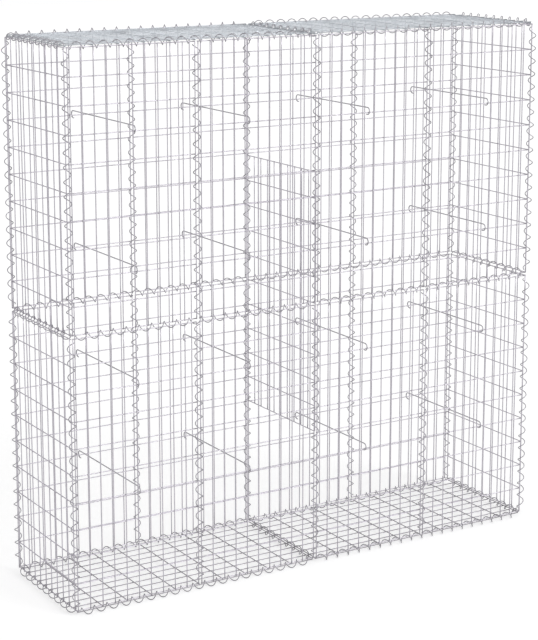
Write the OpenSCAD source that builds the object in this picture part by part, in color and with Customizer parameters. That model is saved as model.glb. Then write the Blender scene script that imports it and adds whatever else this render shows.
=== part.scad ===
// Welded mesh gabion basket, four bays long and two tiers high, bound with spirals.
// Frame: X along the face, Y from front to back, Z up, origin under the middle of the base.

/* [Basket] */
// Width of one bay, which is the width of one wall panel
bay_w = 500; // [480:10:560]
// Height of one tier, which is the length of one wall panel
tier_h = 1000; // [960:10:1100]
// Depth of the basket from front to back
basket_d = 500; // [480:10:560]

/* [Mesh] */
// Thickness of a mesh wire
wire_d = 4; // [3:0.1:4.2]
// Distance from a panel's seam line to its edge wire
edge_inset = 6.5; // [6:0.1:8]
// Gap between the ends of a panel's wires and a panel that stands square to it
panel_gap = 0.35; // [0.2:0.05:0.8]

/* [Spirals] */
// Thickness of the wire in a binding spiral
spiral_wire_d = 3.5; // [3:0.1:4]
// Gap between a spiral and the edge wires that it binds
spiral_play = 0.5; // [0.1:0.1:0.8]
// Turns left off at each end of a spiral
spiral_short = 1; // [1:1:2]

/* [Tie rods] */
// Thickness of a tie rod
rod_d = 4.5; // [4:0.1:6]
// Radius of the hook at a rod's end, to the middle of the rod
hook_r = 13; // [12:0.5:16]
// Height of a hook's centre over the wire that it holds
hook_rise = 5; // [4:0.5:6]
// Length of the straight tail after a hook
hook_tail = 6; // [3:0.5:10]

/* [Hidden] */
bays = 4;
basket_l = bays * bay_w;
half_l = basket_l / 2;
half_d = basket_d / 2;

// Each panel has this many wires each way
wires = 11;
gaps = wires - 1;
mesh_w = (bay_w - 2 * edge_inset) / gaps;
mesh_h = (tier_h - 2 * edge_inset) / gaps;

// A wire is a four-sided bar with a ridge toward the wires that it crosses.
// Wires inside a panel pass just clear of each other, and its rim wires bite into those they carry.
bar_r = wire_d * 0.575;
pass_gap = 0.1;
rim_bite = 0.25;
layer = 2 * bar_r + pass_gap;
wire_end = layer / 2 + bar_r + panel_gap;

// A spiral's wire is three-sided with a flat inward, and turns a corner each quarter turn.
// Its flats lie beside the edge wires that it binds.
spiral_bar = spiral_wire_d * 0.686;
spiral_r = edge_inset + layer / 2 + bar_r + spiral_play + spiral_bar / 2;
turns_per_bay = 10;

// Heights of the seams round the floor, the waist and the lid
floor_z = spiral_r + spiral_bar;
waist_z = floor_z + tier_h;
lid_z = waist_z + tier_h;

// Tie rods: the place in each bay, in mesh widths from its first wire, and the mesh rows they hold
rod_places = [5.15, 4.26, 4.59, 5.7];
lower_rows = [4, 8];
upper_rows = [2, 7];
rod_heights = concat([for (row = lower_rows) floor_z + edge_inset + row * mesh_h],
                     [for (row = upper_rows) waist_z + edge_inset + row * mesh_h]);
hook_reach = hook_r - rod_d / 2 - bar_r - pass_gap;
hook_y = round(100 * (half_d - layer / 2 - sqrt(pow(hook_reach, 2) - pow(hook_rise, 2)))) / 100;

// One straight wire, from the origin up
module wire(length) cylinder(h = length, r = bar_r, $fn = 4);

// A panel standing on the XZ plane, w wide and h high: its long wires outside, its short wires inside.
// The first and the last wire of each layer lie nearer to the other layer, by rim.
module panel(w, h, rim = rim_bite) color("silver") {
  for (i = [0:gaps])
    translate([edge_inset + i * (w - 2 * edge_inset) / gaps, (i % gaps == 0 ? rim : 0) - layer / 2, wire_end])
      wire(h - 2 * wire_end);
  for (j = [0:gaps])
    translate([wire_end, layer / 2 - (j % gaps == 0 ? rim : 0), edge_inset + j * (h - 2 * edge_inset) / gaps])
      rotate([0, 90, 0]) wire(w - 2 * wire_end);
}

// Wall panels, with the bays counted from the left
module front_panel(bay, z)
  translate([(bay - 1) * bay_w - half_l, -half_d, z]) panel(bay_w, tier_h);
module back_panel(bay, z)
  translate([bay * bay_w - half_l, half_d, z]) rotate([0, 0, 180]) panel(bay_w, tier_h);
// End panels, with side -1 at the left and 1 at the right
module end_panel(side, z)
  translate([side * half_l, -side * half_d, z]) rotate([0, 0, side * 90]) panel(basket_d, tier_h);
// Floor and lid panels lie along the basket and start at x.
// All the wires of a lid pass clear of each other, so that each is a bar by itself.
module floor_panel(x)
  translate([x, -half_d, floor_z]) rotate([90, 0, 90]) panel(basket_d, half_l);
module lid_panel(x)
  translate([x, half_d, lid_z]) rotate([-90, 0, -90]) panel(basket_d, half_l, rim = 0);
// The divider stands at the middle joint, over the middle half of the height
module divider_panel()
  translate([0, -half_d, floor_z + tier_h / 2]) rotate([0, 0, 90]) panel(basket_d, tier_h);

// The three corners of the spiral's wire where it has reached this angle and height
function ring(angle, z) = [
  for (k = [0:2])
    let (r = spiral_r + spiral_bar * cos(120 * k))
      [r * cos(angle), r * sin(angle), z + spiral_bar * sin(120 * k)]
];

// A spiral up the Z axis that passes the basket's inside, toward +X, halfway through each turn.
// At a corner seam, where two panels meet square, it turns its corners an eighth of a turn later.
module spiral(length, pitch, at_corner, hand) color("gainsboro") {
  turns = round(length / pitch) - 2 * spiral_short;
  start = (spiral_short + (at_corner ? 1 / 8 : 0)) * pitch;
  steps = 4 * turns - (at_corner ? 1 : 0);
  points = [for (i = [0:steps]) let (z = start + i * pitch / 4) each ring(180 + 360 * z / pitch, z)];
  sides = [for (i = [0:steps - 1], k = [0:2])
    let (a = 3 * i + k, b = 3 * i + (k + 1) % 3) each [[a, a + 3, b + 3], [a, b + 3, b]]];
  first_end = [0, 1, 2];
  last_end = [3 * steps + 2, 3 * steps + 1, 3 * steps];
  mirror([0, hand < 0 ? 1 : 0, 0])
    polyhedron(points, concat([first_end], sides, [last_end]));
}

// The winding changes hand from left to right, front to back and tier to tier
function hand(x, y, z) = (x < 0 ? -1 : 1) * (y < 0 ? -1 : 1) * (z < 0 ? -1 : 1);

// Two spirals up a vertical seam, one a tier
module upright_spirals(x, y, inward, at_corner)
  for (tier = [0, 1])
    translate([x, y, floor_z + tier * tier_h]) rotate([0, 0, inward])
      spiral(tier_h, tier_h / (2 * turns_per_bay), at_corner, hand(x, y, tier - 0.5));

// Two spirals along the face, one each side of the middle
module face_spirals(y, z, inward, at_corner)
  for (side = [-1, 1])
    translate([side < 0 ? -half_l : 0, y, z]) rotate([90, 0, 90]) rotate([0, 0, inward])
      spiral(half_l, bay_w / turns_per_bay, at_corner, hand(side, y, z - waist_z - 1));

// One spiral through the basket's depth
module cross_spiral(x, z, inward, at_corner)
  translate([x, -half_d, z]) rotate([-90, -90, 0]) rotate([0, 0, inward])
    spiral(basket_d, basket_d / turns_per_bay, at_corner, hand(x, 1, z - waist_z - 1));

// The same seam at both ends of the basket, with inward angles from straight up
module end_spirals(z, inward, at_corner) {
  cross_spiral(-half_l, z, inward, at_corner);
  cross_spiral(half_l, z, -inward, at_corner);
}

// The hook at the front end of a rod, and its tail
module hook() {
  rotate([90, 0, 90]) rotate([0, 0, 90])
    rotate_extrude(angle = 180, $fn = 48) translate([hook_r, 0]) circle(d = rod_d, $fn = 24);
  translate([0, 0, -hook_r]) rotate([-90, 0, 0]) cylinder(h = hook_tail, d = rod_d, $fn = 24);
}

// A tie rod that holds the mesh wires at the origin's height, front and back
module tie_rod() translate([0, 0, hook_rise]) {
  translate([0, -hook_y, hook_r]) rotate([-90, 0, 0]) cylinder(h = 2 * hook_y, d = rod_d, $fn = 24);
  translate([0, -hook_y, 0]) hook();
  mirror([0, 1, 0]) translate([0, -hook_y, 0]) hook();
}

// The four rods of one bay
module tie_rods(bay) color("lightgray")
  for (z = rod_heights)
    translate([(bay - 1) * bay_w - half_l + edge_inset + rod_places[bay - 1] * mesh_w, 0, z]) tie_rod();

for (bay = [1:bays]) {
  front_panel(bay, floor_z);
  front_panel(bay, waist_z);
  back_panel(bay, floor_z);
  back_panel(bay, waist_z);
  tie_rods(bay);
}
end_panel(-1, floor_z);  // left_lower
end_panel(-1, waist_z);  // left_upper
end_panel(1, floor_z);  // right_lower
end_panel(1, waist_z);  // right_upper
floor_panel(-half_l);  // floor_left
floor_panel(0);  // floor_right
lid_panel(-half_l);  // lid_left
lid_panel(0);  // lid_right
divider_panel();  // divider

face_spirals(-half_d, floor_z, 45, true);  // front_bottom_spirals
face_spirals(-half_d, waist_z, 0, false);  // front_waist_spirals
face_spirals(-half_d, lid_z, -45, true);  // front_lid_spirals
face_spirals(half_d, floor_z, 135, true);  // back_bottom_spirals
face_spirals(half_d, waist_z, 180, false);  // back_waist_spirals
face_spirals(half_d, lid_z, 225, true);  // back_lid_spirals
end_spirals(floor_z, 45, true);  // side_bottom_spirals
end_spirals(waist_z, 90, false);  // side_waist_spirals
end_spirals(lid_z, 135, true);  // side_lid_spirals
cross_spiral(0, floor_z, 0, false);  // floor_seam_spiral
cross_spiral(0, lid_z, 180, false);  // lid_seam_spiral

upright_spirals(-half_l, -half_d, 45, true);  // front_left_corner_spirals
upright_spirals(half_l, -half_d, 135, true);  // front_right_corner_spirals
upright_spirals(-half_l, half_d, -45, true);  // back_left_corner_spirals
upright_spirals(half_l, half_d, -135, true);  // back_right_corner_spirals
for (joint = [1:bays - 1]) {
  upright_spirals(joint * bay_w - half_l, -half_d, 90, false);
  upright_spirals(joint * bay_w - half_l, half_d, -90, false);
}
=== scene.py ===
# Welded mesh gabion basket, galvanised: round wires, weld marks, wound spirals and hooked rods
import math
import random

import bmesh
import bpy
from mathutils import Matrix, Vector


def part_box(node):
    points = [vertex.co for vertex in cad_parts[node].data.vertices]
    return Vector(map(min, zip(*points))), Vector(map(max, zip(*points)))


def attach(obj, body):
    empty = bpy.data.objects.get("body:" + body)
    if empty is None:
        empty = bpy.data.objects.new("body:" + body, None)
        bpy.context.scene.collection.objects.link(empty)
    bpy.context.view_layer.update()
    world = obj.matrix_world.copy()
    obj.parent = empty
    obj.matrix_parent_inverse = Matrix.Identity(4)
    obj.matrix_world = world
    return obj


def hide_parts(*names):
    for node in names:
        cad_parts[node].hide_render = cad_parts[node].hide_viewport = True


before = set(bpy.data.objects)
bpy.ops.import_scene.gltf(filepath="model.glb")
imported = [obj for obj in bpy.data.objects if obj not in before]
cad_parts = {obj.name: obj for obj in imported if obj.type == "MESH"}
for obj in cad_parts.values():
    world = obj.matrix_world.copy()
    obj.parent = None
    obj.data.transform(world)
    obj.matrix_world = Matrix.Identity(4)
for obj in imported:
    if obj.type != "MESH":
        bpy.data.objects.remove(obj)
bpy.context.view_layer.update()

# Sizes of the basket in metres, as in the model's source. Only a panel's two layers of wires are
# closer here, because round wires sink into each other at a weld.
MM = 0.001
BAYS = 4
BAY_W = 500 * MM
TIER_H = 1000 * MM
BASKET_D = 500 * MM
HALF_L = BAYS * BAY_W / 2
HALF_D = BASKET_D / 2
EDGE_INSET = 6.5 * MM
WIRE_END = 5 * MM
GAPS = 10
WIRE_R = 2 * MM
WELD_SINK = 0.3 * MM
LAYER = 2 * WIRE_R - WELD_SINK
MESH_W = (BAY_W - 2 * EDGE_INSET) / GAPS
MESH_H = (TIER_H - 2 * EDGE_INSET) / GAPS
FLOOR_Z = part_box("front_lower_1")[0].z - WIRE_END
WAIST_Z = FLOOR_Z + TIER_H
LID_Z = WAIST_Z + TIER_H

# What only the drawn wires have: a slight sway, and a weld's half sizes across, through and up
SWAY = 0.15 * MM
WELD_HALF = (2.3 * MM, 1.5 * MM, 2.3 * MM)

# Spirals: the outside of the round wire is level with the outside of the model's spirals.
# Each one starts and ends this share of a turn from its seam's ends.
SPIRAL_WIRE_R = 1.75 * MM
SPIRAL_R = FLOOR_Z - SPIRAL_WIRE_R
TURNS_PER_BAY = 10
END_TURNS = 0.36

# Tie rods: their places count cells from a bay's left wire, and their rows cells from a tier's
# lowest wire. A hook's centre lies the rise above the level wire that it goes round, and the
# play keeps the hook off that wire.
ROD_R = 2.25 * MM
HOOK_R = 13 * MM
HOOK_RISE = 5 * MM
HOOK_TAIL = 6 * MM
HOOK_PLAY = 0.2 * MM
ROD_PLACES = (5.15, 4.26, 4.59, 5.7)
LOWER_ROWS = (4, 8)
UPPER_ROWS = (2, 7)

# The photograph's view. Its upright framing is taken partly by the lens shift and partly by
# looking down.
LENS = 101.79
SHIFT_Y = -0.1406
CAMERA_AT = (-3.5600, -5.7445, 2.5423)
LOOK_DOWN = 10.818
LOOK_RIGHT = 31.420

# The studio: the sky's strength as light, the floor, and the glow that brings the floor to white
# only where it is seen
SKY_LIGHT = 0.55
FLOOR_GREY = 0.65
FLOOR_GLOW = 0.48
FLOOR_SIZE = 60
FLOOR_DROP = 0.5 * MM

# Each lamp's name, the place that it shines from, its spread in degrees and its strength
LAMPS = (("key", (3.5, -6.5, 4.8), 26, 1.6), ("fill", (-5, -3, 6), 45, 0.35))
LAMPS_AIM = (0, 0, 1)

# How finely round things are drawn: sides round a wire, and steps along a mesh wire, a spiral's
# turn, a rod's hook and its straight. A wire's end rises by this share of its radius.
WIRE_SIDES = 8
WIRE_STEPS = 20
SPIRAL_SIDES = 7
SPIRAL_STEPS = 22
ROD_SIDES = 12
HOOK_STEPS = 16
ROD_STEPS = 12
TIP_RISE = 0.15

# The zinc: its crystals and its patches, in cells to a metre, how far a crystal's tone strays, and
# the depth of the relief. The patches' noise turns it dull over one range and rougher over another.
METALLIC = 0.85
SPANGLES = 260
PATCHES = 9
DARKER, BRIGHTER = 0.88, 1.08
DULL_FROM, DULL_TO = 0.5, 0.75
ROUGH_FROM, ROUGH_TO = 0.3, 0.75
ROUGHER = 0.2
RELIEF = 0.2 * MM

rng = random.Random(7)


def zinc(name, colour, dull, roughness):
    """Galvanised steel: pale zinc with a fine spangle, duller patches and a drawn surface."""
    mat = bpy.data.materials.new(name)
    mat.use_nodes = True
    nodes = mat.node_tree.nodes
    links = mat.node_tree.links
    shader = nodes["Principled BSDF"]
    shader.inputs["Metallic"].default_value = METALLIC
    shader.inputs["Specular IOR Level"].default_value = 0.5
    place = nodes.new("ShaderNodeTexCoord")

    spangle = nodes.new("ShaderNodeTexVoronoi")
    spangle.inputs["Scale"].default_value = SPANGLES
    links.new(place.outputs["Object"], spangle.inputs["Vector"])
    patches = nodes.new("ShaderNodeTexNoise")
    patches.inputs["Scale"].default_value = PATCHES
    patches.inputs["Detail"].default_value = 5
    links.new(place.outputs["Object"], patches.inputs["Vector"])

    grain = nodes.new("ShaderNodeMix")
    grain.data_type = "RGBA"
    grain.inputs["A"].default_value = (*[c * DARKER for c in colour], 1)
    grain.inputs["B"].default_value = (*[c * BRIGHTER for c in colour], 1)
    links.new(spangle.outputs["Color"], grain.inputs["Factor"])
    tone = nodes.new("ShaderNodeMapRange")
    tone.inputs["From Min"].default_value = DULL_FROM
    tone.inputs["From Max"].default_value = DULL_TO
    links.new(patches.outputs["Fac"], tone.inputs["Value"])
    base = nodes.new("ShaderNodeMix")
    base.data_type = "RGBA"
    links.new(tone.outputs["Result"], base.inputs["Factor"])
    links.new(grain.outputs["Result"], base.inputs["A"])
    base.inputs["B"].default_value = (*dull, 1)
    links.new(base.outputs["Result"], shader.inputs["Base Color"])

    rough = nodes.new("ShaderNodeMapRange")
    rough.inputs["From Min"].default_value = ROUGH_FROM
    rough.inputs["From Max"].default_value = ROUGH_TO
    rough.inputs["To Min"].default_value = roughness
    rough.inputs["To Max"].default_value = roughness + ROUGHER
    links.new(patches.outputs["Fac"], rough.inputs["Value"])
    links.new(rough.outputs["Result"], shader.inputs["Roughness"])

    bump = nodes.new("ShaderNodeBump")
    bump.inputs["Strength"].default_value = 0.25
    bump.inputs["Distance"].default_value = RELIEF
    links.new(spangle.outputs["Distance"], bump.inputs["Height"])
    links.new(bump.outputs["Normal"], shader.inputs["Normal"])
    return mat


MESH_ZINC = zinc("mesh_zinc", (0.505, 0.483, 0.53), (0.40, 0.38, 0.42), 0.36)
# The lid's zinc is lighter and a little bluer than the walls'; the lighter tone is painted light
# from above.
LID_ZINC_PAINTED_TOP_LIGHT = zinc("lid_zinc_painted_top_light", (0.44, 0.465, 0.495), (0.345, 0.365, 0.39), 0.36)
# The floor's darker, duller zinc is painted shade low on the basket.
FLOOR_ZINC_PAINTED_SHADE = zinc("floor_zinc_painted_shade", (0.36, 0.345, 0.375), (0.27, 0.26, 0.28), 0.38)
SPIRAL_ZINC = zinc("spiral_zinc", (0.375, 0.365, 0.395), (0.265, 0.255, 0.275), 0.34)
# The bottom spirals' darker zinc is painted shade low on the basket.
LOW_SPIRAL_ZINC_PAINTED_SHADE = zinc("low_spiral_zinc_painted_shade", (0.30, 0.293, 0.315), (0.21, 0.205, 0.22), 0.36)
ROD_ZINC = zinc("rod_zinc", (0.41, 0.40, 0.43), (0.30, 0.29, 0.31), 0.36)


def turned(degrees, axis):
    return Matrix.Rotation(math.radians(degrees), 4, axis)


def at(x, y, z):
    return Matrix.Translation((x, y, z))


# These lay down what is drawn upright: along X with its outside down, along X with its outside
# up, and along Y
LYING = turned(90, "Z") @ turned(90, "X")
LYING_OVER = turned(-90, "Z") @ turned(-90, "X")
THROUGH = turned(-90, "Y") @ turned(-90, "X")


def tube(bm, path, radius, sides, side):
    """A round wire along a path, with slightly raised ends. Its first vertex lies toward side."""
    rings = []
    last = len(path) - 1
    right = Vector(side)
    for i, point in enumerate(path):
        along = (path[min(i + 1, last)] - path[max(i - 1, 0)]).normalized()
        right = (right - along * right.dot(along)).normalized()
        up = along.cross(right)
        ring = []
        for k in range(sides):
            turn = math.tau * k / sides
            out = right * math.cos(turn) + up * math.sin(turn)
            ring.append(bm.verts.new(point + radius * out))
        rings.append(ring)
    for a, b in zip(rings, rings[1:]):
        for k in range(sides):
            n = (k + 1) % sides
            bm.faces.new((a[k], a[n], b[n], b[k])).smooth = True
    for ring, end, before in ((rings[0], path[0], path[1]), (rings[-1], path[-1], path[-2])):
        tip = bm.verts.new(end + (end - before).normalized() * radius * TIP_RISE)
        for k in range(sides):
            n = (k + 1) % sides
            face = (ring[n], ring[k], tip) if ring is rings[0] else (ring[k], ring[n], tip)
            bm.faces.new(face)


def weld(bm, centre):
    """The squeezed metal round one weld, between two wires that cross."""
    form = at(*centre) @ Matrix.Diagonal((*WELD_HALF, 1))
    made = bmesh.ops.create_icosphere(bm, subdivisions=1, radius=1, matrix=form)
    for face in {f for v in made["verts"] for f in v.link_faces}:
        face.smooth = True


def finished(name, bm, material, slot, *nodes):
    """Turns drawn geometry into a piece that stands for these nodes."""
    mesh = bpy.data.meshes.new(name)
    bm.to_mesh(mesh)
    bm.free()
    mesh.materials.append(material)
    piece = bpy.data.objects.new(name, mesh)
    bpy.context.scene.collection.objects.link(piece)
    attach(piece, "root")
    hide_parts(*nodes)


def wavy(start, end):
    """A straight wire's path, bowed and wavering a little as a drawn wire is."""
    along = end - start
    bow = Vector((rng.uniform(-1, 1), rng.uniform(-1, 1), rng.uniform(-1, 1)))
    bow -= along.normalized() * bow.dot(along.normalized())
    lobes = rng.choice((1, 2, 3))
    path = []
    for i in range(WIRE_STEPS + 1):
        t = i / WIRE_STEPS
        path.append(start + along * t + bow * SWAY * math.sin(math.pi * lobes * t))
    return path


def panel(node, width, height, place, material=MESH_ZINC):
    """One welded panel, drawn upright with its long wires outside and its short wires inside."""
    bm = bmesh.new()
    columns = [EDGE_INSET + i * (width - 2 * EDGE_INSET) / GAPS for i in range(GAPS + 1)]
    rows = [EDGE_INSET + j * (height - 2 * EDGE_INSET) / GAPS for j in range(GAPS + 1)]
    outside, inside = -LAYER / 2, LAYER / 2
    for x in columns:
        path = wavy(Vector((x, outside, WIRE_END)), Vector((x, outside, height - WIRE_END)))
        tube(bm, path, WIRE_R, WIRE_SIDES, (1, 0, 0))
    for z in rows:
        path = wavy(Vector((WIRE_END, inside, z)), Vector((width - WIRE_END, inside, z)))
        tube(bm, path, WIRE_R, WIRE_SIDES, (0, 0, 1))
    for x in columns:
        for z in rows:
            weld(bm, (x, 0, z))
    bm.transform(place)
    finished(node + "_mesh", bm, material, "mesh_wire", node)


def walls():
    """The front and back panels, bay by bay, and the two ends."""
    for bay in range(1, BAYS + 1):
        left = (bay - 1) * BAY_W - HALF_L
        for tier, z in (("lower", FLOOR_Z), ("upper", WAIST_Z)):
            panel(f"front_{tier}_{bay}", BAY_W, TIER_H, at(left, -HALF_D, z))
            behind = at(left + BAY_W, HALF_D, z) @ turned(180, "Z")
            panel(f"back_{tier}_{bay}", BAY_W, TIER_H, behind)
    for tier, z in (("lower", FLOOR_Z), ("upper", WAIST_Z)):
        panel(f"left_{tier}", BASKET_D, TIER_H, at(-HALF_L, HALF_D, z) @ turned(-90, "Z"))
        panel(f"right_{tier}", BASKET_D, TIER_H, at(HALF_L, -HALF_D, z) @ turned(90, "Z"))


def decks():
    """The floor, the lid and the divider."""
    for name, x in (("left", -HALF_L), ("right", 0)):
        # The floor's darker zinc is painted shade.
        panel(f"floor_{name}", BASKET_D, HALF_L, at(x, -HALF_D, FLOOR_Z) @ LYING, FLOOR_ZINC_PAINTED_SHADE)
        # The lid's lighter zinc is painted light from above.
        panel(f"lid_{name}", BASKET_D, HALF_L, at(x, HALF_D, LID_Z) @ LYING_OVER, LID_ZINC_PAINTED_TOP_LIGHT)
    midway = FLOOR_Z + TIER_H / 2
    panel("divider", BASKET_D, TIER_H, at(0, -HALF_D, midway) @ turned(90, "Z"))


def spiral(bm, length, pitch, hand, place):
    """A wound spiral up Z. Halfway through each turn it passes the basket's inside, at +X."""
    turns = length / pitch - 2 * END_TURNS
    steps = round(turns * SPIRAL_STEPS)
    path = []
    for i in range(steps + 1):
        z = (END_TURNS + turns * i / steps) * pitch
        angle = hand * math.tau * (z / pitch + 0.5)
        path.append(place @ Vector((SPIRAL_R * math.cos(angle), SPIRAL_R * math.sin(angle), z)))
    tube(bm, path, SPIRAL_WIRE_R, SPIRAL_SIDES, path[0] - place.translation)


def sign(value):
    return -1 if value < 0 else 1


def hand(x, y, z):
    """The winding changes hand from left to right, front to back and tier to tier."""
    return sign(x) * sign(y) * sign(z)


def over_waist(z):
    """Above nought for the lid alone, because the waist's seams wind as the bottom's do."""
    return z - WAIST_Z - MM


def seam_zinc_with_painted_shade(z):
    """The spirals round the bottom are darker, as in the photograph; their darker zinc is painted
    shade.
    """
    return LOW_SPIRAL_ZINC_PAINTED_SHADE if z == FLOOR_Z else SPIRAL_ZINC


def upright_spirals(node, x, y, inward):
    """The spirals up one corner or joint, one a tier. Inward is the angle to the inside."""
    bm = bmesh.new()
    for tier in (0, 1):
        place = at(x, y, FLOOR_Z + tier * TIER_H) @ turned(inward, "Z")
        spiral(bm, TIER_H, TIER_H / (2 * TURNS_PER_BAY), hand(x, y, tier - 0.5), place)
    finished(node + "_wire", bm, SPIRAL_ZINC, "spiral_wire", node)


def face_spirals(node, y, z, inward):
    """The two spirals along one seam of the front or back."""
    bm = bmesh.new()
    for side, x in ((-1, -HALF_L), (1, 0)):
        place = at(x, y, z) @ LYING @ turned(inward, "Z")
        spiral(bm, HALF_L, BAY_W / TURNS_PER_BAY, hand(side, y, over_waist(z)), place)
    finished(node + "_wire", bm, seam_zinc_with_painted_shade(z), "spiral_wire", node)


def cross_spirals(node, z, seams):
    """Spirals through the depth, each given by its place along X and its inward angle."""
    bm = bmesh.new()
    for x, inward in seams:
        place = at(x, -HALF_D, z) @ THROUGH @ turned(inward, "Z")
        spiral(bm, BASKET_D, BASKET_D / TURNS_PER_BAY, hand(x, 1, over_waist(z)), place)
    finished(node + "_wire", bm, seam_zinc_with_painted_shade(z), "spiral_wire", node)


def spirals():
    """Every seam's spirals: level ones first, then those up the corners and joints."""
    for face, y, inward in (("front", -HALF_D, (45, 0, -45)), ("back", HALF_D, (135, 180, 225))):
        for seam, z, angle in zip(("bottom", "waist", "lid"), (FLOOR_Z, WAIST_Z, LID_Z), inward):
            face_spirals(f"{face}_{seam}_spirals", y, z, angle)
    for seam, z, angle in (("bottom", FLOOR_Z, 45), ("waist", WAIST_Z, 90), ("lid", LID_Z, 135)):
        cross_spirals(f"side_{seam}_spirals", z, ((-HALF_L, angle), (HALF_L, -angle)))
    cross_spirals("floor_seam_spiral", FLOOR_Z, ((0, 0),))
    cross_spirals("lid_seam_spiral", LID_Z, ((0, 180),))
    upright_spirals("front_left_corner_spirals", -HALF_L, -HALF_D, 45)
    upright_spirals("front_right_corner_spirals", HALF_L, -HALF_D, 135)
    upright_spirals("back_left_corner_spirals", -HALF_L, HALF_D, -45)
    upright_spirals("back_right_corner_spirals", HALF_L, HALF_D, -135)
    for joint in range(1, BAYS):
        x = joint * BAY_W - HALF_L
        upright_spirals(f"front_joint_spirals_{joint}", x, -HALF_D, 90)
        upright_spirals(f"back_joint_spirals_{joint}", x, HALF_D, -90)


def rod_path(hook_y):
    """From the tip of the front hook, over the basket, to the tip of the back hook."""
    half = []
    for y in (HOOK_TAIL, HOOK_TAIL / 2):
        half.append(Vector((0, y - hook_y, -HOOK_R)))
    for i in range(HOOK_STEPS + 1):
        angle = math.pi * i / HOOK_STEPS
        half.append(Vector((0, -hook_y - HOOK_R * math.sin(angle), -HOOK_R * math.cos(angle))))
    straight = []
    for i in range(1, ROD_STEPS):
        straight.append(Vector((0, -hook_y + 2 * hook_y * i / ROD_STEPS, HOOK_R)))
    return half + straight + [Vector((0, -p.y, p.z)) for p in reversed(half)]


def tie_rods():
    """Four rods a bay, which lie through the mesh and hook round its level wires from outside."""
    inner = HOOK_R - ROD_R - WIRE_R - HOOK_PLAY
    hook_y = HALF_D - LAYER / 2 - math.sqrt(inner**2 - HOOK_RISE**2)
    heights = [FLOOR_Z + EDGE_INSET + row * MESH_H for row in LOWER_ROWS]
    heights += [WAIST_Z + EDGE_INSET + row * MESH_H for row in UPPER_ROWS]
    for bay, place in enumerate(ROD_PLACES, 1):
        bm = bmesh.new()
        x = (bay - 1) * BAY_W - HALF_L + EDGE_INSET + place * MESH_W
        for z in heights:
            shift = Vector((x, 0, z + HOOK_RISE))
            tube(bm, [p + shift for p in rod_path(hook_y)], ROD_R, ROD_SIDES, (1, 0, 0))
        finished(f"tie_rods_{bay}_wire", bm, ROD_ZINC, "rod_steel", f"tie_rods_{bay}")


def by_ray(tree, lighting, seen):
    """A strength that is one number as light, and another as seen, in metal and glass too."""
    path = tree.nodes.new("ShaderNodeLightPath")
    share = path.outputs["Is Camera Ray"]
    for ray in ("Is Glossy Ray", "Is Transmission Ray"):
        larger = tree.nodes.new("ShaderNodeMath")
        larger.operation = "MAXIMUM"
        tree.links.new(share, larger.inputs[0])
        tree.links.new(path.outputs[ray], larger.inputs[1])
        share = larger.outputs[0]
    strength = tree.nodes.new("ShaderNodeMapRange")
    strength.inputs["To Min"].default_value = lighting
    strength.inputs["To Max"].default_value = seen
    tree.links.new(share, strength.inputs["Value"])
    return strength.outputs["Result"]


def studio():
    """A pale floor, soft light from all round and two wide suns that light it evenly."""
    pale = bpy.data.materials.new("pale_floor")
    pale.use_nodes = True
    shader = pale.node_tree.nodes["Principled BSDF"]
    shader.inputs["Base Color"].default_value = (FLOOR_GREY, FLOOR_GREY, FLOOR_GREY, 1)
    shader.inputs["Roughness"].default_value = 0.9
    shader.inputs["Specular IOR Level"].default_value = 0.1
    shader.inputs["Emission Color"].default_value = (1, 1, 1, 1)
    glow = by_ray(pale.node_tree, 0, FLOOR_GLOW)
    pale.node_tree.links.new(glow, shader.inputs["Emission Strength"])
    bpy.ops.mesh.primitive_plane_add(size=FLOOR_SIZE, location=(0, 0, -FLOOR_DROP))
    floor = bpy.context.object
    floor.name = "studio_floor"
    floor.data.materials.append(pale)

    world = bpy.data.worlds.new("studio")
    bpy.context.scene.world = world
    world.use_nodes = True
    sky = world.node_tree.nodes["Background"]
    sky.inputs["Color"].default_value = (1, 1, 1, 1)
    shine = by_ray(world.node_tree, SKY_LIGHT, 1)
    world.node_tree.links.new(shine, sky.inputs["Strength"])

    for name, place, spread, strength in LAMPS:
        data = bpy.data.lights.new(name, "SUN")
        data.angle = math.radians(spread)
        data.energy = strength
        lamp = bpy.data.objects.new(name, data)
        lamp.location = place
        beam = Vector(LAMPS_AIM) - Vector(place)
        lamp.rotation_euler = beam.to_track_quat("-Z", "Y").to_euler()
        bpy.context.scene.collection.objects.link(lamp)


def camera():
    """The photograph's view, from high at the left front corner."""
    data = bpy.data.cameras.new("photo_view")
    data.sensor_width = 36
    data.lens = LENS
    data.shift_y = SHIFT_Y
    cam = bpy.data.objects.new("photo_view", data)
    cam.location = CAMERA_AT
    cam.rotation_euler = (math.radians(90 - LOOK_DOWN), 0, math.radians(-LOOK_RIGHT))
    bpy.context.scene.collection.objects.link(cam)
    bpy.context.scene.camera = cam


walls()
decks()
spirals()
tie_rods()
studio()
camera()
bpy.context.scene.view_settings.view_transform = "Standard"
